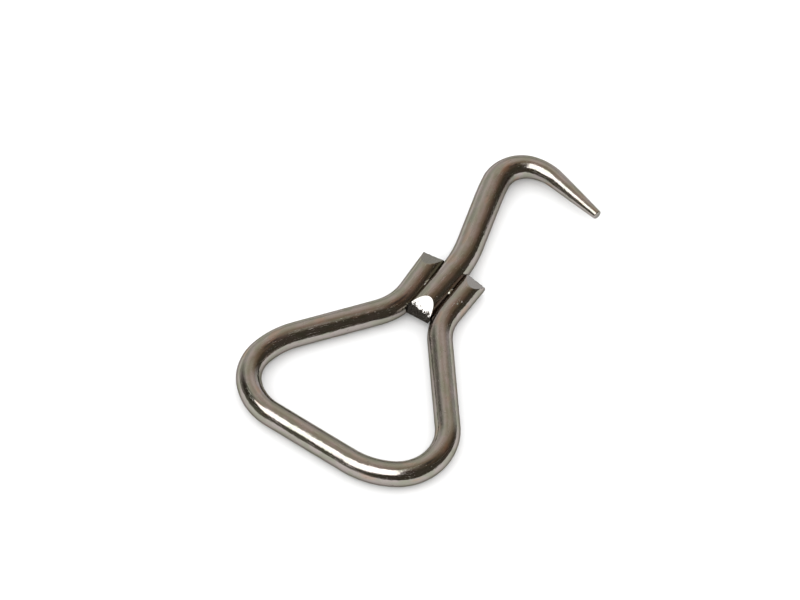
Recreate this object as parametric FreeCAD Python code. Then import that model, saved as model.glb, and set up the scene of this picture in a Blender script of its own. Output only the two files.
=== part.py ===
"""Hand meat hook of two welded wires: a triangular finger handle and a tapered S-bend hook.

Millimetres.  Both wires lie on the plane Z = 0, the shank of the hook runs along +Y, and the
origin is the centre of the finished hook's footprint.
"""
import FreeCAD, Part
import math
import os
from FreeCAD import Matrix, Rotation, Vector

# Wires
HANDLE_WIRE = 8.0
HOOK_WIRE = 8.8

# Handle, from the middle of its base outwards: half of the base, then the three radii and angles
# of the corner, then the neck bend back towards the shank.  Legs are as long as it takes to bring
# the bars against the shank.
BASE_HALF = {"left": 15.1, "right": 14.2}
CORNER = {
    "left": ((17.3, 45.3), (13.7, 52.7), (25.7, 28.4)),
    "right": ((27.4, 31.1), (15.3, 54.8), (16.8, 43.8)),
}
NECK = {"left": (18.8, 40.8), "right": (16.8, 38.7)}
BAR_LENGTH = 14.0

# Weld between each bar and the shank
SET_DOWN = {"left": 1.1, "right": 0.7}
WELD_FROM_BAR_END = 9.2
WELD_LENGTH = 7.0
WELD_WIDTH = 3.8
WELD_HEIGHT = 6.4

# Hook, from its lower end
SHANK_OVERLAP = 20.8
SHANK = 19.3
SWAY_BEND = (41.4, 17.4)
RISER = 18.8
RETURN_BEND = (66.4, 5.4)
THROAT_BEND = (9.8, 82.9)
OUTER_BEND = (16.0, 30.1)
ARM = 19.0
TAPER_LENGTH = 39.9
TAPER_BULGE = 0.185
TIP_WIRE = 3.0
TIP_BEVEL = 0.5

# Sheared wire ends: two bevels that leave a torn face between them.  The shear leans clockwise,
# seen along the wire towards the cut.
SHEAR_ANGLE = 25.0
SHEAR_LEAN = {"left": -6.0, "right": 17.0, "shank": -17.0}
TORN_FACE = {"left": 3.2, "right": 4.0, "shank": 3.4}

# Sections along the taper, the reach of the cutting tools, the width of the shear, which has to
# clear the other bar, and the length of the blocks that halve the joint
TAPER_SECTIONS = 9
TOOL = 40.0
SHEAR_WIDTH = 12.0
HALVES_LENGTH = 320.0

UP = Vector(0, 0, 1)


def heading_vector(heading, hand):
    """Unit vector in the plane; a hand of -1 mirrors it to the left side."""
    angle = math.radians(heading)
    return Vector(hand * math.cos(angle), math.sin(angle), 0)


def bend_point(start, heading, radius, turn, hand):
    """Point reached after turning by an angle; a positive turn is anticlockwise before mirroring."""
    side = math.copysign(1.0, turn)
    centre = start + heading_vector(heading + 90 * side, hand) * radius
    return centre + heading_vector(heading + turn - 90 * side, hand) * radius


def walk(start, heading, steps, hand=1):
    """Edges along lines and bends, with the end point and the last heading."""
    edges = []
    point = start
    for step in steps:
        if len(step) == 1:
            end = point + heading_vector(heading, hand) * step[0]
            edges.append(Part.LineSegment(point, end).toShape())
        else:
            radius, turn = step
            middle = bend_point(point, heading, radius, turn / 2, hand)
            end = bend_point(point, heading, radius, turn, hand)
            edges.append(Part.Arc(point, middle, end).toShape())
            heading += turn
        point = end
    return edges, point, heading


def side_steps(side, leg):
    """Lines and bends of one side of the handle up to the start of its bar."""
    radius, turn = NECK[side]
    return [(BASE_HALF[side],)] + list(CORNER[side]) + [(leg,), (radius, -turn)]


def bar_spacing(side):
    """Distance from the shank's centreline to the bar's centreline at the weld."""
    drop = (HOOK_WIRE - HANDLE_WIRE) / 2
    centres = (HOOK_WIRE + HANDLE_WIRE) / 2 - SET_DOWN[side]
    return math.sqrt(centres ** 2 - drop ** 2)


def leg_length(side):
    """Length of leg that brings the bar to its spacing at the weld."""
    origin = Vector(0, 0, 0)
    start, heading = walk(origin, 0, side_steps(side, 1.0))[1:]
    along = BAR_LENGTH - WELD_FROM_BAR_END
    reach = start.x + along / math.tan(math.radians(heading))
    leg_heading = sum(turn for radius, turn in CORNER[side])
    return 1.0 + (bar_spacing(side) - reach) / math.cos(math.radians(leg_heading))


def handle_side(side):
    """Centreline edges of one side of the handle, its bar start and its bar heading."""
    hand = 1 if side == "right" else -1
    start = Vector(0, 0, HANDLE_WIRE / 2)
    return walk(start, 0, side_steps(side, leg_length(side)), hand), hand


def bar_end_y():
    """Where both bars are sheared off."""
    return handle_side("right")[0][1].y + BAR_LENGTH


def wire_path(edges):
    """One wire from the edges of a walk."""
    return Part.Wire(Part.sortEdges(edges)[0])


def round_section(point, tangent, radius):
    """Circle across a wire's centreline."""
    return Part.Wire(Part.makeCircle(radius, point, tangent))


def point_along(edges, distance):
    """Point and direction at a distance along the edges."""
    for edge in edges[:-1]:
        if distance < edge.Length:
            break
        distance -= edge.Length
    else:
        edge = edges[-1]
    parameter = edge.getParameterByLength(min(distance, edge.Length))
    return edge.valueAt(parameter), edge.tangentAt(parameter)


def taper_radius(share):
    """Radius of the hook wire at a share of the way along its taper."""
    eased = share * (1 - TAPER_BULGE) + TAPER_BULGE * share ** 2
    return (HOOK_WIRE + (TIP_WIRE - HOOK_WIRE) * eased) / 2


def swept_wire(path, start, tangent, radius):
    """Round wire of one thickness along a path."""
    sweep = Part.BRepOffsetAPI.MakePipeShell(path)
    sweep.setBiNormalMode(UP)
    sweep.add(round_section(start, tangent, radius))
    sweep.build()
    sweep.makeSolid()
    return sweep.shape()


def split_steps(steps, distance):
    """Steps before and after a distance along them."""
    before = []
    after = []
    for step in steps:
        length = step[0] if len(step) == 1 else step[0] * math.radians(abs(step[1]))
        share = min(max(distance / length, 0), 1)
        if share > 0:
            before.append(step[:-1] + (step[-1] * share,))
        if share < 1:
            after.append(step[:-1] + (step[-1] * (1 - share),))
        distance -= length
    return before, after


def handle_blank(bar_end):
    """Handle wire, bent, with both bars run past the line where they are sheared."""
    edges = []
    for side in ("left", "right"):
        (half, point, heading), hand = handle_side(side)
        spare = bar_end - point.y + HANDLE_WIRE
        edges += half + walk(point, heading, [(spare,)], hand)[0]
    path = wire_path(edges)
    start, following = [vertex.Point for vertex in path.OrderedVertexes[:2]]
    return swept_wire(path, start, following - start, HANDLE_WIRE / 2)


def hook_blank(shank_y):
    """Hook wire with its bends and taper, run past the line where its lower end is sheared."""
    start = Vector(0, shank_y - HOOK_WIRE, HOOK_WIRE / 2)
    steps = [
        (HOOK_WIRE + SHANK,),
        SWAY_BEND,
        (RISER,),
        (RETURN_BEND[0], -RETURN_BEND[1]),
        (THROAT_BEND[0], -THROAT_BEND[1]),
        (OUTER_BEND[0], -OUTER_BEND[1]),
        (ARM - TIP_BEVEL,),
    ]
    length = sum(edge.Length for edge in walk(start, 90, steps)[0])
    plain, tapered = split_steps(steps, length - TAPER_LENGTH)
    edges, point, heading = walk(start, 90, plain)
    wire = swept_wire(wire_path(edges), start, heading_vector(90, 1), HOOK_WIRE / 2)
    edges, tip, heading = walk(point, heading, tapered)
    sections = []
    for number in range(TAPER_SECTIONS):
        share = number / (TAPER_SECTIONS - 1)
        middle, tangent = point_along(edges, share * TAPER_LENGTH)
        sections.append(round_section(middle, tangent, taper_radius(share)))
    taper = Part.makeLoft(sections, True, False)
    end = Part.makeCone(TIP_WIRE / 2, TIP_WIRE / 2 - TIP_BEVEL, TIP_BEVEL, tip,
                        heading_vector(heading, 1))
    return wire.fuse([taper, end])


def shear_tools(wire_end, end, heading):
    """Wedges that bevel a wire's end from above and from below, and the block beyond it."""
    wedge = Part.makeBox(SHEAR_WIDTH, TOOL, TOOL, Vector(-SHEAR_WIDTH / 2, -TOOL, 0))
    wedge.rotate(Vector(0, 0, 0), Vector(1, 0, 0), -SHEAR_ANGLE)
    wedge.translate(Vector(0, 0, TORN_FACE[wire_end] / 2))
    lower = wedge.copy()
    lower.rotate(Vector(0, 0, 0), Vector(0, 1, 0), 180)
    beyond = Part.makeBox(SHEAR_WIDTH, TOOL, 2 * TOOL, Vector(-SHEAR_WIDTH / 2, 0, -TOOL))
    tools = [wedge, lower, beyond]
    for tool in tools:
        tool.rotate(Vector(0, 0, 0), Vector(0, 1, 0), SHEAR_LEAN[wire_end])
        tool.rotate(Vector(0, 0, 0), UP, heading - 90)
        tool.translate(end)
    return tools


def bar_end_point(side, bar_end):
    """Middle of a bar's sheared end, and the way it faces."""
    (edges, point, heading), hand = handle_side(side)
    along = (bar_end - point.y) / math.sin(math.radians(heading))
    facing = heading if hand > 0 else 180 - heading
    return point + heading_vector(heading, hand) * along, facing


def contact_halves(side):
    """Blocks on the bar's side and on the shank's side of the plane where they are pressed flat."""
    hand = 1 if side == "right" else -1
    outward = Vector(hand * bar_spacing(side), 0, (HANDLE_WIRE - HOOK_WIRE) / 2)
    distance = outward.Length
    outward.normalize()
    from_shank = (distance ** 2 + (HOOK_WIRE ** 2 - HANDLE_WIRE ** 2) / 4) / (2 * distance)
    turn = Rotation(Vector(1, 0, 0), outward)
    halves = []
    for start in (0, -TOOL):
        block = Part.makeBox(TOOL, HALVES_LENGTH, 2 * TOOL,
                             Vector(start, -HALVES_LENGTH / 2, -TOOL))
        block.Placement = FreeCAD.Placement(
            Vector(0, 0, HOOK_WIRE / 2) + outward * from_shank, turn)
        halves.append(block)
    return halves


def weld_bead(side, weld_y):
    """Flattened ellipsoid of fused metal between a bar and the shank."""
    hand = 1 if side == "right" else -1
    contact = hand * bar_spacing(side) * HOOK_WIRE / (HOOK_WIRE + HANDLE_WIRE)
    bead = Part.makeSphere(1.0)
    shape = Matrix()
    shape.scale(Vector(WELD_WIDTH / 2, WELD_LENGTH / 2, WELD_HEIGHT / 2))
    bead = bead.transformGeometry(shape)
    bead.translate(Vector(contact, weld_y, (HANDLE_WIRE + HOOK_WIRE) / 4))
    return bead


def press_together(handle, hook):
    """Flatten the handle and the hook against each other at both bars."""
    for side in ("left", "right"):
        bar_half, shank_half = contact_halves(side)
        from_hook = handle.common(bar_half)
        from_handle = hook.common(shank_half)
        hook = hook.cut(from_hook)
        handle = handle.cut(from_handle)
    return handle, hook


def centred(nodes):
    """All nodes moved so that the origin is the centre of their footprint."""
    box = Part.makeCompound(list(nodes.values())).optimalBoundingBox(False)
    offset = Vector(-box.Center.x, -box.Center.y, -box.ZMin)
    for shape in nodes.values():
        shape.translate(offset)
    return nodes


def build():
    """Every node of the hook, by name."""
    bar_end = bar_end_y()
    shank_y = bar_end - SHANK_OVERLAP
    weld_y = bar_end - WELD_FROM_BAR_END

    handle = handle_blank(bar_end)
    for side in ("left", "right"):
        handle = handle.cut(shear_tools(side, *bar_end_point(side, bar_end)))
    shank_end = Vector(0, shank_y, HOOK_WIRE / 2)
    hook = hook_blank(shank_y).cut(shear_tools("shank", shank_end, -90))
    handle, hook = press_together(handle, hook)

    beads = {side: weld_bead(side, weld_y) for side in ("left", "right")}
    nodes = {
        "handle": handle.cut(list(beads.values())).Solids[0],
        "hook": hook.cut(list(beads.values())).Solids[0],
        "weld_left": beads["left"],
        "weld_right": beads["right"],
    }
    return centred(nodes)


os.makedirs("parts", exist_ok=True)
for name, shape in build().items():
    print(name, "valid" if shape.isValid() else "NOT VALID", round(shape.Volume, 1), "mm3")
    shape.exportStep("parts/" + name + ".step")
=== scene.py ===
"""Hand meat hook: a bent wire finger handle welded to a tapered S-bend hook, bright nickel plated.

The wires are drawn in millimetres on the bending plan (shank along +Y, middle of the handle's base
at the origin) and then moved into the frame, in metres.
"""
import math

import bmesh
import bpy
from mathutils import Matrix, Vector, noise


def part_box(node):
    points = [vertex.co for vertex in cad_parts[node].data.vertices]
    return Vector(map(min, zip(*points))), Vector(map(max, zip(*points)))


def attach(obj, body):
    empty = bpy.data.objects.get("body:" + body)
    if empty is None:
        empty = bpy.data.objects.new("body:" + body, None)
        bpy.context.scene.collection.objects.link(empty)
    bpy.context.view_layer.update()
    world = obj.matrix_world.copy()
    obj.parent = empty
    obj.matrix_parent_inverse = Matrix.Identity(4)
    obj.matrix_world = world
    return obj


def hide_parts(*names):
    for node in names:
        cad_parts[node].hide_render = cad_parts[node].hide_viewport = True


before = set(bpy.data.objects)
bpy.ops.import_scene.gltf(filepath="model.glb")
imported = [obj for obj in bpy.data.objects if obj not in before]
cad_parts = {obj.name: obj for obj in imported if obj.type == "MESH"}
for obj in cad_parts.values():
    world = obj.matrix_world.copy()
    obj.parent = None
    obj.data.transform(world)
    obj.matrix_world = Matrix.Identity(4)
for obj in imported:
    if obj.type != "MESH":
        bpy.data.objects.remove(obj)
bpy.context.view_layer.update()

MM = 0.001
UP = Vector((0, 0, 1))

# Wires and how they are bent, as (length,) or (radius, degrees to the left)
HANDLE_RADIUS = 4.0
HOOK_RADIUS = 4.4
BASE_HALF = {"left": 15.1, "right": 14.2}
CORNER = {
    "left": [(17.3, 45.3), (13.7, 52.7), (25.7, 28.4)],
    "right": [(27.4, 31.1), (15.3, 54.8), (16.8, 43.8)],
}
LEG = {"left": 26.843, "right": 31.678}
NECK = {"left": (18.8, -40.8), "right": (16.8, -38.7)}
BARS_END_Y = 76.689
SHANK_END_Y = 55.889
HOOK_BENDS = [
    (19.3,), (41.4, 17.4), (18.8,), (66.4, -5.4), (9.8, -82.9), (16.0, -30.1), (18.65,),
]
TAPER_LENGTH = 40.8
TAPER_BULGE = 0.185
TIP_RADIUS = 1.5
TIP_ROUNDING = 0.35
TIP_STEPS = 5

# Sheared ends: a bevel above and one below, with a torn face between them.  Each bevel has the lean
# of its blade, clockwise along the wire, and how far from the wire's middle it starts; then how far
# the top of the torn face is pulled back, and how far its teeth climb the upper bevel.
SHEAR_ANGLE = 25.0
SHEARED = {
    "left": ((-6.0, 1.6), (-6.0, 1.6), 0.15, 0.3),
    "right": ((17.0, 2.0), (17.0, 2.0), 0.3, 0.3),
    "shank": ((-17.0, 1.7), (0.0, 1.35), 0.9, 1.7),
}
SPARE = 6.0

# How near a wire's end a cut may reach and its cut faces lie, and how close counts as one point or
# as in one plane
CUT_REACH = 9
CUT_FACE_REACH = 7
ONE_POINT = 1e-5
ONE_PLANE = 1e-3

# Strips that the cut faces are divided into: width, and how many each side of the middle
STRIPS_ACROSS = (0.3, 13)
STRIPS_UP_TORN = (0.4, 5)
STRIPS_UP_BEVEL = (0.25, 17)

# Grain of the teeth and of the torn face's pits, coarse and fine
TEETH_GRAIN = (1.1, 3.1)
TEETH_FINE = 0.8
TEETH_LEVEL = 0.35
PIT_GRAIN = (1.3, 3.7)
PIT_DEPTH = 0.12
PIT_COARSE = 0.16
PIT_FINE = 0.10

# Weld between each bar and the shank; the left one, as the CAD has it, ties this plan to the frame
CAD_WELD_LEFT = Vector((-3.818, 67.489, 4.2))
WELD_MIDDLE = {"left": Vector((-3.7, 66.9, 4.15)), "right": Vector((4.0, 68.5, 4.1))}
WELD_SIZE = {"left": Vector((1.8, 3.1, 2.95)), "right": Vector((1.6, 2.3, 2.7))}
WELD_GRAIN = 0.45
WELD_SEED = 3
WELD_FULLNESS = 0.94
WELD_UNEVENNESS = 0.05
SPECK_STRETCH = Vector((1.0, 1.25, 0.8))
SPATTER = [
    (9.20, 65.10, 7.66, 0.34), (9.75, 66.60, 7.38, 0.31), (9.02, 66.35, 7.74, 0.20),
    (2.55, 63.40, 7.90, 0.22), (-5.05, 64.10, 7.20, 0.20),
]

# Faces round a wire, and the steps along it: millimetres on a straight, degrees in a bend
RING = 72
STRAIGHT_STEP = 1.0
BEND_STEP = 2.5


# ---------------------------------------------------------------- wires

def heading_vector(heading):
    angle = math.radians(heading)
    return Vector((math.cos(angle), math.sin(angle), 0))


def bend_centre(point, heading, bend):
    radius, turn = bend
    return point + heading_vector(heading + math.copysign(90, turn)) * radius


def walk(point, heading, bends):
    """Where a run of straights and bends leads, and its heading there."""
    for bend in bends:
        if len(bend) == 1:
            point = point + heading_vector(heading) * bend[0]
        else:
            centre = bend_centre(point, heading, bend)
            turn = Matrix.Rotation(math.radians(bend[1]), 3, "Z")
            point = centre + turn @ (point - centre)
            heading += bend[1]
    return point, heading


def side_bends(side):
    """Bends of one side of the handle, from the middle of the base to the foot of its bar."""
    return [(BASE_HALF[side],)] + CORNER[side] + [(LEG[side],), NECK[side]]


def bar_length(side):
    """Length of a bar from its neck bend to its sheared end, and its heading."""
    point, heading = walk(Vector(), 0, side_bends(side))
    return (BARS_END_Y - point.y) / math.sin(math.radians(heading)), heading


def hook_radius(from_tip):
    """Radius of the hook's wire at a distance back from the start of the rounded tip."""
    share = 1 - min(from_tip / TAPER_LENGTH, 1)
    eased = share * (1 - TAPER_BULGE) + TAPER_BULGE * share ** 2
    return HOOK_RADIUS + (TIP_RADIUS - HOOK_RADIUS) * eased


class Drawing:
    """A wire drawn ring by ring; each vertex remembers where it lay in the straight wire."""

    def __init__(self, point, heading, radius):
        self.mesh = bmesh.new()
        self.straight = self.mesh.verts.layers.float_vector.new("straightened")
        self.torn = self.mesh.faces.layers.float.new("torn")
        self.sheared = self.mesh.faces.layers.float.new("sheared")
        self.point = point
        self.heading = heading
        self.radius = radius
        self.along = 0.0
        lie = Matrix.Rotation(math.radians(heading), 4, "Z") @ Matrix.Rotation(math.pi / 2, 4, "Y")
        ring = bmesh.ops.create_circle(
            self.mesh, cap_ends=True, segments=RING, radius=radius,
            matrix=Matrix.Translation(point) @ lie)["verts"]
        self.ring = ring + list(dict.fromkeys(edge for vert in ring for edge in vert.link_edges))
        self.remember()

    def ring_verts(self):
        return [item for item in self.ring if isinstance(item, bmesh.types.BMVert)]

    def remember(self):
        side = heading_vector(self.heading + 90)
        for vert in self.ring_verts():
            arm = vert.co - self.point
            vert[self.straight] = (self.along, arm.dot(side), arm.z)

    def step(self, bend, radius):
        """One more ring, at the end of a short straight or bend."""
        if len(bend) == 1:
            move = heading_vector(self.heading) * bend[0]
            made = bmesh.ops.spin(
                self.mesh, geom=self.ring, cent=self.point, axis=UP, dvec=move, angle=0.0,
                steps=1, use_duplicate=False)
            self.along += bend[0]
        else:
            made = bmesh.ops.spin(
                self.mesh, geom=self.ring, cent=bend_centre(self.point, self.heading, bend),
                axis=UP, dvec=Vector(), angle=math.radians(bend[1]), steps=1,
                use_duplicate=False)
            self.along += bend[0] * math.radians(abs(bend[1]))
        self.point, self.heading = walk(self.point, self.heading, [bend])
        self.ring = [item for item in made["geom_last"]
                     if not isinstance(item, bmesh.types.BMFace)]
        if radius != self.radius:
            grow = radius / self.radius
            bmesh.ops.scale(self.mesh, vec=Vector((grow,) * 3), verts=self.ring_verts(),
                            space=Matrix.Translation(-self.point))
            self.radius = radius
        self.remember()

    def draw(self, bends, radius_at=None):
        """Draws on through straights and bends."""
        for bend in bends:
            if len(bend) == 1:
                count = max(1, round(bend[0] / STRAIGHT_STEP))
            else:
                count = max(1, round(abs(bend[1]) / BEND_STEP))
            part = bend[:-1] + (bend[-1] / count,)
            for number in range(count):
                reach = part[0] if len(part) == 1 else part[0] * math.radians(abs(part[1]))
                radius = radius_at(self.along + reach) if radius_at else self.radius
                self.step(part, radius)

    def close(self):
        """Closes the last ring with a face, and gives that face."""
        edges = [item for item in self.ring if isinstance(item, bmesh.types.BMEdge)]
        return bmesh.ops.contextual_create(self.mesh, geom=edges)["faces"][0]


# ---------------------------------------------------------------- sheared ends

def with_rims(faces):
    """Faces with their edges and corners, each once and always in the same order."""
    edges = dict.fromkeys(edge for face in faces for edge in face.edges)
    verts = dict.fromkeys(vert for face in faces for vert in face.verts)
    return faces + list(edges) + list(verts)


class ShearedEnd:
    """Cuts one end of a wire: a bevel above and below, and a ragged torn face between them."""

    def __init__(self, name, end, heading):
        upper, lower, pull, self.teeth = SHEARED[name]
        tilt = math.radians(SHEAR_ANGLE)
        right = heading_vector(heading - 90)
        self.end = end
        self.facing = heading_vector(heading)
        self.bevels = []
        for (lean, half), sign in ((upper, 1), (lower, -1)):
            turn = math.radians(lean)
            up = (UP * math.cos(turn) + right * math.sin(turn)) * sign
            self.bevels.append((end + up * half, self.facing * math.sin(tilt) + up * math.cos(tilt)))
        turn = math.radians(upper[0])
        self.up = UP * math.cos(turn) + right * math.sin(turn)
        self.across = right * math.cos(turn) - UP * math.sin(turn)
        self.uphill = self.across.cross(self.bevels[0][1])
        back = math.atan(pull / (upper[1] + lower[1]))
        self.torn = (end - UP * lower[1],
                     self.facing * math.cos(back) + self.up * math.sin(back))

    def faces_on(self, mesh, plane):
        """Faces of this end that lie in a plane, given as a point and its normal."""
        co, normal = plane
        return [face for face in mesh.faces
                if (face.calc_center_median() - self.end).length < CUT_FACE_REACH
                and all(abs((vert.co - co).dot(normal)) < ONE_PLANE for vert in face.verts)]

    def cut_off(self, mesh, plane):
        """Takes away what is beyond a plane and closes the cut."""
        faces = [face for face in mesh.faces
                 if (face.calc_center_median() - self.end).length < CUT_REACH]
        cut = bmesh.ops.bisect_plane(
            mesh, geom=with_rims(faces), dist=ONE_POINT, plane_co=plane[0], plane_no=plane[1],
            clear_outer=True)
        rim = [item for item in cut["geom_cut"] if isinstance(item, bmesh.types.BMEdge)]
        bmesh.ops.contextual_create(mesh, geom=rim)

    def slice(self, mesh, plane, direction, spacing, count):
        """Divides the faces in a plane into strips."""
        for number in range(-count, count + 1):
            bmesh.ops.bisect_plane(
                mesh, geom=with_rims(self.faces_on(mesh, plane)), dist=ONE_POINT,
                plane_co=self.end + direction * number * spacing, plane_no=direction)

    def shear(self, mesh):
        self.cut_off(mesh, self.torn)
        for bevel in self.bevels:
            self.cut_off(mesh, bevel)
        self.slice(mesh, self.torn, self.across, *STRIPS_ACROSS)
        self.slice(mesh, self.torn, self.up, *STRIPS_UP_TORN)
        self.slice(mesh, self.bevels[0], self.across, *STRIPS_ACROSS)
        self.slice(mesh, self.bevels[0], self.uphill, *STRIPS_UP_BEVEL)

    def tear(self, mesh, layer):
        """Roughens the torn face and lets its teeth run up into the bevel above."""
        faces = self.faces_on(mesh, self.torn)
        chord = min(abs((face.calc_center_median() - self.end).dot(self.uphill))
                    for face in self.faces_on(mesh, self.bevels[0]))
        for face in faces:
            face[layer] = 1.0
        for face in self.faces_on(mesh, self.bevels[0]):
            centre = face.calc_center_median()
            climb = abs((centre - self.end).dot(self.uphill)) - chord
            grain = (noise.noise(centre * TEETH_GRAIN[0])
                     + TEETH_FINE * noise.noise(centre * TEETH_GRAIN[1]))
            if climb < self.teeth * (TEETH_LEVEL + grain):
                face[layer] = 1.0
                faces.append(face)
        for vert in dict.fromkeys(vert for face in faces for vert in face.verts):
            if all(face[layer] > 0.5 for face in vert.link_faces):
                coarse = noise.noise(vert.co * PIT_GRAIN[0])
                fine = noise.noise(vert.co * PIT_GRAIN[1] + self.facing)
                depth = PIT_DEPTH + PIT_COARSE * coarse + PIT_FINE * fine
                vert.co -= self.facing * max(0.0, depth)

    def flatten(self, mesh, layer):
        """The bevels stay flat beside the round wire."""
        for plane in self.bevels + [self.torn]:
            for face in self.faces_on(mesh, plane):
                face.smooth = False
                face[layer] = 1.0


def finish_wire(drawing, ends):
    mesh = drawing.mesh
    for face in mesh.faces:
        face.smooth = True
    for end in ends:
        end.shear(mesh)
        end.tear(mesh, drawing.torn)
    bmesh.ops.recalc_face_normals(mesh, faces=mesh.faces)
    for end in ends:
        end.flatten(mesh, drawing.sheared)
    return mesh


def place(name, mesh, material, node=None):
    """Moves a finished mesh from the bending plan into the frame."""
    bead_low, bead_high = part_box("weld_left")
    bmesh.ops.scale(mesh, vec=Vector((MM, MM, MM)), verts=mesh.verts)
    bmesh.ops.translate(mesh, vec=(bead_low + bead_high) / 2 - CAD_WELD_LEFT * MM,
                         verts=mesh.verts)
    data = bpy.data.meshes.new(name)
    mesh.to_mesh(data)
    mesh.free()
    piece = bpy.data.objects.new(name, data)
    bpy.context.collection.objects.link(piece)
    data.materials.append(material)
    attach(piece, "root")
    if node:
        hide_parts(node)


def handle_wire():
    left, left_heading = bar_length("left")
    right, right_heading = bar_length("right")
    foot, heading = walk(Vector(), 0, side_bends("left"))
    mirrored = Vector((-foot.x, foot.y, HANDLE_RADIUS))
    towards = heading_vector(180 - heading)
    start = mirrored + towards * (left + SPARE)
    wire = Drawing(start, -heading, HANDLE_RADIUS)
    backwards = [(left + SPARE,), NECK["left"], (LEG["left"],)] + CORNER["left"][::-1]
    wire.draw(backwards + [(BASE_HALF["left"],)] + side_bends("right") + [(right + SPARE,)])
    wire.close()
    ends = [
        ShearedEnd("left", mirrored + towards * left, 180 - heading),
        ShearedEnd("right", wire.point - heading_vector(wire.heading) * SPARE, wire.heading),
    ]
    return finish_wire(wire, ends)


def hook_wire():
    length = SPARE + sum(
        bend[0] if len(bend) == 1 else bend[0] * math.radians(abs(bend[1])) for bend in HOOK_BENDS)
    wire = Drawing(Vector((0, SHANK_END_Y - SPARE, HOOK_RADIUS)), 90, HOOK_RADIUS)
    wire.draw([(SPARE,)] + HOOK_BENDS, lambda along: hook_radius(length - along))
    turns = [math.radians(90 / TIP_STEPS * number) for number in range(TIP_STEPS + 1)]
    for before, after in zip(turns, turns[1:]):
        wire.step((TIP_ROUNDING * (math.sin(after) - math.sin(before)),),
                  TIP_RADIUS - TIP_ROUNDING * (1 - math.cos(after)))
    wire.close()[wire.sheared] = 1.0
    return finish_wire(
        wire, [ShearedEnd("shank", Vector((0, SHANK_END_Y, HOOK_RADIUS)), -90)])


def weld_bead(side):
    mesh = bmesh.new()
    bmesh.ops.create_uvsphere(mesh, u_segments=48, v_segments=64, radius=1.0)
    bmesh.ops.rotate(mesh, cent=Vector(), matrix=Matrix.Rotation(math.pi / 2, 3, "X"),
                     verts=mesh.verts)
    bmesh.ops.scale(mesh, vec=WELD_SIZE[side], verts=mesh.verts)
    for vert in mesh.verts:
        uneven = noise.noise(vert.co * WELD_GRAIN + WELD_MIDDLE[side] * WELD_SEED)
        vert.co *= WELD_FULLNESS + WELD_UNEVENNESS * uneven
    bmesh.ops.translate(mesh, vec=WELD_MIDDLE[side], verts=mesh.verts)
    for face in mesh.faces:
        face.smooth = True
    return mesh


def spatter():
    """Specks of weld metal thrown onto the right bar and the shank."""
    mesh = bmesh.new()
    for x, y, z, radius in SPATTER:
        made = bmesh.ops.create_icosphere(mesh, subdivisions=3, radius=radius)["verts"]
        bmesh.ops.scale(mesh, vec=SPECK_STRETCH, verts=made)
        bmesh.ops.translate(mesh, vec=Vector((x, y, z)), verts=made)
    for face in mesh.faces:
        face.smooth = True
    return mesh


# ---------------------------------------------------------------- finishes

class Link:
    """An output of a node; arithmetic on it adds Math nodes."""

    def __init__(self, tree, socket=None):
        self.tree = tree
        self.socket = socket

    def node(self, kind, settings, values, output=0):
        """A new node: its settings first, then the values or links of its sockets."""
        made = self.tree.nodes.new(kind)
        for key, setting in settings.items():
            setattr(made, key, setting)
        for key, value in values.items():
            if isinstance(value, Link):
                self.tree.links.new(value.socket, made.inputs[key])
            else:
                made.inputs[key].default_value = value
        return Link(self.tree, made.outputs[output])

    def math(self, operation, first, second=0.0):
        return self.node("ShaderNodeMath", {"operation": operation}, {0: first, 1: second})

    def __add__(self, other):
        return self.math("ADD", self, other)

    def __radd__(self, other):
        return self.math("ADD", other, self)

    def __sub__(self, other):
        return self.math("SUBTRACT", self, other)

    def __rsub__(self, other):
        return self.math("SUBTRACT", other, self)

    def __mul__(self, other):
        return self.math("MULTIPLY", self, other)

    def __rmul__(self, other):
        return self.math("MULTIPLY", other, self)

    def __truediv__(self, other):
        return self.math("DIVIDE", self, other)

    def ramp(self, low, high, start=0.0, end=1.0):
        """Eased step from one value to another between two levels."""
        return self.node(
            "ShaderNodeMapRange", {"interpolation_type": "SMOOTHSTEP"},
            {"Value": self, "From Min": low, "From Max": high, "To Min": start, "To Max": end})

    def mix(self, first, second):
        """Colour mixed from first to second by this value."""
        return self.node("ShaderNodeMix", {"data_type": "RGBA"},
                         {0: self, 6: first, 7: second}, 2)

    def scaled(self, scale):
        """This vector, stretched."""
        return self.node("ShaderNodeVectorMath", {"operation": "MULTIPLY"}, {0: self, 1: scale})

    def dot(self, direction):
        """How far this vector reaches along a direction."""
        return self.node("ShaderNodeVectorMath", {"operation": "DOT_PRODUCT"},
                         {0: self, 1: direction}, "Value")

    def noise(self, scale, detail=2.0, roughness=0.5):
        """Noise over this vector."""
        return self.node("ShaderNodeTexNoise", {"normalize": True},
                         {"Vector": self, "Scale": scale, "Detail": detail,
                          "Roughness": roughness})


# Colours of the plating, of its darker rim, and of the metal laid bare by the shears; the torn
# face's two colours are its dull grey with painted shade in its hollows and painted light on its
# peaks
OLIVE = (0.265, 0.262, 0.215, 1)
ROSE = (0.318, 0.284, 0.266, 1)
COPPERY = (0.34, 0.255, 0.205, 1)
PITTED = (0.09, 0.075, 0.06, 1)
RIM = (0.32, 0.305, 0.29, 1)
SHEARED_METAL = (0.300, 0.292, 0.275, 1)
# Torn face: dull torn metal, painted darker in its hollows (painted shade) and lighter on its raised
# grain (painted light)
TORN_HOLLOW_SHADE = (0.035, 0.030, 0.026, 1)
TORN_LIT_PEAKS = (0.20, 0.19, 0.17, 1)


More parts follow.
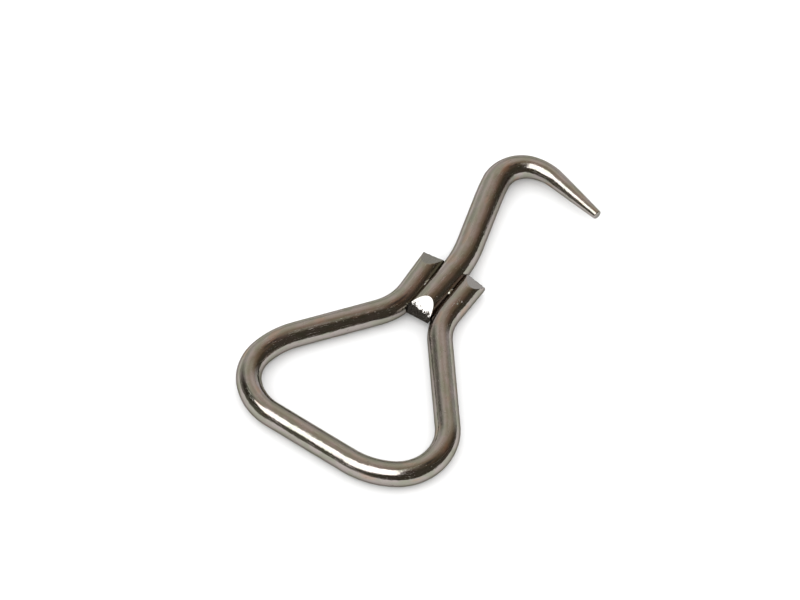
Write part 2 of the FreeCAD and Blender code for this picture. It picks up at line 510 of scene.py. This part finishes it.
def plating(name, attribute=True):
    """Bright nickel over drawn wire: streaks, scuffs and small pits along the wire."""
    material = bpy.data.materials.new(name)
    material.use_nodes = True
    tree = material.node_tree
    shader = tree.nodes["Principled BSDF"]
    shader.inputs["Metallic"].default_value = 1.0
    shader.inputs["Specular Tint"].default_value = RIM
    new = Link(tree)
    if attribute:
        place_on = new.node("ShaderNodeAttribute", {"attribute_name": "straightened"}, {},
                            "Vector")
        torn = new.node("ShaderNodeAttribute", {"attribute_name": "torn"}, {}, "Fac")
        sheared = new.node("ShaderNodeAttribute", {"attribute_name": "sheared"}, {}, "Fac")
    else:
        place_on = new.node("ShaderNodeTexCoord", {}, {}, "Object").scaled((1 / MM,) * 3)
        torn = None
    waves = place_on.scaled((0.6, 1.0, 1.0)).noise(0.55, 2.0)
    dents = place_on.noise(1.2, 1.0)
    drawn = place_on.scaled((0.06, 1.0, 1.0)).noise(2.6, 3.0)
    scratches = place_on.scaled((0.05, 1.0, 1.0)).noise(4.2, 1.0).ramp(0.66, 0.74)
    specks = place_on.noise(2.1, 1.0).ramp(0.72, 0.77)
    tint = place_on.scaled((0.5, 1.0, 1.0)).noise(0.42, 2.0)
    blush = place_on.scaled((0.4, 1.0, 1.0)).noise(0.31, 1.0)
    colour = tint.ramp(0.35, 0.65).mix(OLIVE, ROSE)
    colour = (blush.ramp(0.60, 0.72) * 0.7).mix(colour, COPPERY)
    colour = (specks * 0.6).mix(colour, PITTED)
    roughness = 0.09 + 0.07 * drawn.ramp(0.35, 0.7) + 0.34 * scratches + 0.25 * specks
    grain = place_on.scaled((0.35, 1.0, 1.0)).noise(3.4, 1.0)
    height = waves * 0.055 + dents * 0.012 + drawn * 0.016 + grain * 0.012 - specks * 0.03
    if torn:
        height = height * (1 - 0.8 * sheared)
        colour = (sheared * 0.8).mix(colour, SHEARED_METAL)
        # The crumble noise raises the torn face's relief and also paints shade into its hollows and
        # light onto its peaks, over the dull torn metal
        crumble = place_on.noise(2.4, 3.0, 0.6)
        torn_shaded = crumble.ramp(0.45, 0.8).mix(TORN_HOLLOW_SHADE, TORN_LIT_PEAKS)
        colour = torn.mix(colour, torn_shaded)
        roughness = roughness + 0.30 * torn
        height = height + torn * crumble * 0.25
    bump = new.node("ShaderNodeBump", {}, {"Strength": 1.0, "Distance": MM, "Height": height})
    tree.links.new(colour.socket, shader.inputs["Base Color"])
    tree.links.new(roughness.socket, shader.inputs["Roughness"])
    tree.links.new(bump.socket, shader.inputs["Normal"])
    return material


# ---------------------------------------------------------------- studio

def toward(azimuth, elevation):
    """Direction in the frame, azimuth from +X towards +Y."""
    turn = math.radians(azimuth)
    rise = math.radians(elevation)
    return Vector((math.cos(turn) * math.cos(rise), math.sin(turn) * math.cos(rise),
                   math.sin(rise)))


# What the bright metal mirrors: azimuth, elevation, where it fades out, colour
STUDIO = [
    (-118, -15, 71, (0.28, 0.28, 0.24)),
    (124, 53, 59, (1.67, 1.67, 1.60)),
    (95, 56, 56, (0.30, 0.13, 0.04)),
    (107, 44, 34, (1.02, 0.95, 0.88)),
    (158, -15, 71, (1.21, 1.17, 1.13)),
    (-160, 33, 33, (0.06, 0.05, 0.04)),
    (45, 68, 15, (0.05, 0.04, 0.04)),
    (88, 8, 35, (1.04, 1.02, 1.04)),
    (-96, 0, 15, (0.82, 0.79, 0.78)),
    (117, 4, 16, (0.78, 0.77, 0.73)),
    (10, 88, 16, (0.75, 0.72, 0.66)),
]
SHADOWS = (0.104, 0.087, 0.067)
DOME = (1.60, 1.60, 1.60)

# The softbox: where it hangs, how it is turned, half its width and height at one unit away, and
# how its edges fade
SOFTBOX = (-102.0, 61.0)
SOFTBOX_TURN = -47.9
SOFTBOX_HALF = (0.41, 0.43)
SOFTBOX_EDGE = 0.06
SOFTBOX_AHEAD = (0.02, 0.05)
SOFTBOX_GLOW = (4.5, 4.5, 4.6)


def softbox_mask(direction, new):
    middle = toward(*SOFTBOX)
    level = UP.cross(middle).normalized()
    sides = Matrix.Rotation(math.radians(SOFTBOX_TURN), 3, middle) @ level
    rise = middle.cross(sides)
    ahead = direction.dot(middle)
    mask = ahead.ramp(*SOFTBOX_AHEAD)
    for axis, half in zip((sides, rise), SOFTBOX_HALF):
        off = new.math("ABSOLUTE", direction.dot(axis) / ahead)
        mask = mask * off.ramp(half - SOFTBOX_EDGE, half + SOFTBOX_EDGE, 1.0, 0.0)
    return mask


def studio_world():
    world = bpy.data.worlds.new("studio")
    bpy.context.scene.world = world
    world.use_nodes = True
    tree = world.node_tree
    new = Link(tree)
    direction = new.node("ShaderNodeTexCoord", {}, {}, "Generated")
    seen = SHADOWS + (1,)
    for azimuth, elevation, reach, colour in STUDIO:
        angle = new.math("ARCCOSINE", direction.dot(toward(azimuth, elevation)))
        seen = angle.ramp(0.0, math.radians(reach), 1.0, 0.0).mix(seen, colour + (1,))
    seen = softbox_mask(direction, new).mix(seen, SOFTBOX_GLOW + (1,))
    glossy = new.node("ShaderNodeLightPath", {}, {}, "Is Glossy Ray")
    seen = glossy.mix(DOME + (1,), seen)
    background = tree.nodes["Background"]
    tree.links.new(seen.socket, background.inputs["Color"])


LAMP_SIZE = 1.6
LAMP_DISTANCE = 1.6
LAMP_GLOW = 0.5


def soft_lamp():
    """Large soft lamp behind the softbox's cloth; only the pale floor shows its light."""
    data = bpy.data.lights.new("soft_lamp", "AREA")
    data.shape = "RECTANGLE"
    data.size = LAMP_SIZE
    data.size_y = LAMP_SIZE
    data.energy = LAMP_GLOW * math.pi * data.size * data.size_y
    lamp = bpy.data.objects.new("soft_lamp", data)
    lamp.visible_glossy = False
    bpy.context.collection.objects.link(lamp)
    away = toward(*SOFTBOX)
    lamp.location = away * LAMP_DISTANCE
    lamp.rotation_euler = away.to_track_quat("Z", "Y").to_euler()


FLOOR_HALF = 20.0
FLOOR_WHITE = (0.84, 0.84, 0.84, 1)
FLOOR_ROUGHNESS = 0.9


def floor():
    mesh = bmesh.new()
    bmesh.ops.create_grid(mesh, x_segments=1, y_segments=1, size=FLOOR_HALF)
    data = bpy.data.meshes.new("floor")
    mesh.to_mesh(data)
    mesh.free()
    piece = bpy.data.objects.new("floor", data)
    bpy.context.collection.objects.link(piece)
    material = bpy.data.materials.new("pale floor")
    material.use_nodes = True
    shader = material.node_tree.nodes["Principled BSDF"]
    shader.inputs["Base Color"].default_value = FLOOR_WHITE
    shader.inputs["Roughness"].default_value = FLOOR_ROUGHNESS
    shader.inputs["Specular IOR Level"].default_value = 0.0
    data.materials.append(material)


CAMERA_PLACE = Vector((0.871289, -1.232749, 2.235534))
CAMERA_AIM = Vector((-0.009779, -0.003808, 0.0042))
CAMERA_LENS = 388.83


def camera():
    data = bpy.data.cameras.new("camera")
    data.lens = CAMERA_LENS
    data.sensor_width = 36.0
    data.clip_end = 50.0
    view = bpy.data.objects.new("camera", data)
    bpy.context.collection.objects.link(view)
    view.location = CAMERA_PLACE
    aim = CAMERA_AIM - view.location
    view.rotation_euler = aim.to_track_quat("-Z", "Y").to_euler()
    bpy.context.scene.camera = view


camera()
floor()
soft_lamp()
studio_world()
bpy.context.scene.view_settings.view_transform = "Standard"

wire_plating = plating("nickel_plated_wire")
weld_plating = plating("nickel_plated_weld", attribute=False)
place("handle_bent_wire", handle_wire(), wire_plating, "handle")
place("hook_tapered_wire", hook_wire(), wire_plating, "hook")
place("weld_bead_left", weld_bead("left"), weld_plating, "weld_left")
place("weld_bead_right", weld_bead("right"), weld_plating, "weld_right")
place("weld_spatter", spatter(), weld_plating)
